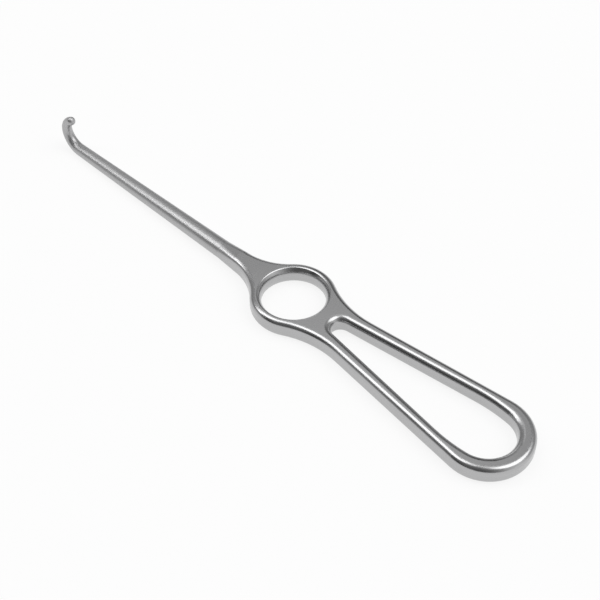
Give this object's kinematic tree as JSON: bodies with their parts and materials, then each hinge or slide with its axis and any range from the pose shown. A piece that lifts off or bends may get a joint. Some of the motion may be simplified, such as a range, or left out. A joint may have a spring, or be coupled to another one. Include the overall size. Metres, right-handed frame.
{
  "type": "handheld surgical retractor",
  "caption": "One-piece steel hand retractor: drop-shaped loop handle, finger ring and a tapering round shaft that ends in one blunt hook.",
  "frame": {"origin": "middle of the finger ring's hole at half the plate's thickness", "axes": "+X runs along the instrument to the end of the loop handle, +Z is the axis of the finger ring, upwards, the way the hook rises"},
  "size_m": [0.2199, 0.0306, 0.0157],
  "materials": {
    "steel": "satin polished stainless steel"
  },
  "bodies": {
    "root": {"retractor": "steel"}
  },
  "joints": []
}
